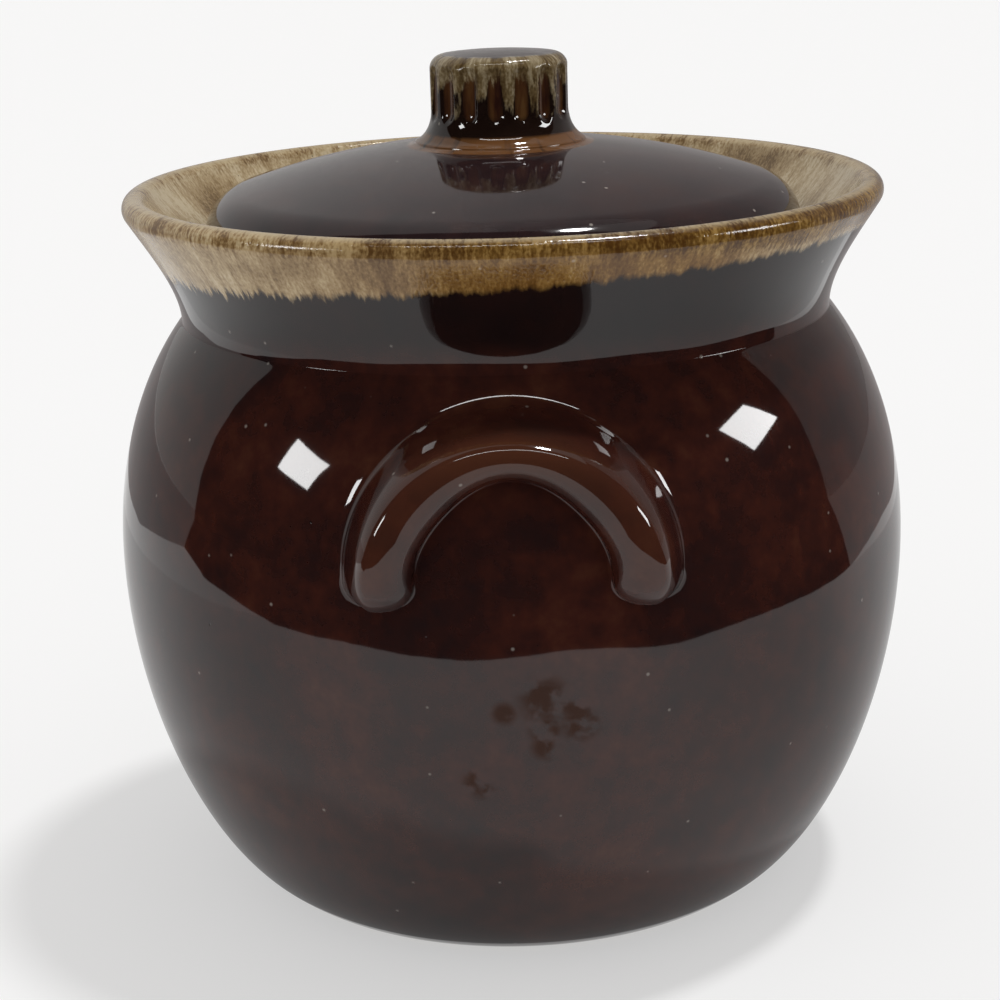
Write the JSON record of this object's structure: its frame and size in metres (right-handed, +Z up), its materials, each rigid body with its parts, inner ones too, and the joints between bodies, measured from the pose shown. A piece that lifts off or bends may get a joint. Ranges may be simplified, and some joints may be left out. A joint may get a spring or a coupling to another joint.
{
  "type": "lidded bean pot",
  "caption": "Round-bellied glazed stoneware bean pot with lug handles, a flared rim, a foot ring and a domed lift-off lid with a fluted knob.",
  "frame": {"origin": "centre of the foot ring, on the surface that the pot stands on", "axes": "+Z up through the middle of the knob; one handle faces -Y and the other +Y"},
  "size_m": [0.178, 0.1878, 0.1862],
  "materials": {
    "pot_glaze": "gloss",
    "lid_glaze": "gloss",
    "knob_glaze": "gloss"
  },
  "bodies": {
    "pot": {"pot_body": "pot_glaze", "front_handle": "pot_glaze", "rear_handle": "pot_glaze"},
    "lid": {"lid": "lid_glaze", "lid_knob": "knob_glaze"}
  },
  "joints": [
    {"name": "lid_lift", "type": "slide", "parent": "pot", "child": "lid", "axis": [0, 0, 1], "range_m": [0, 0.06]}
  ]
}
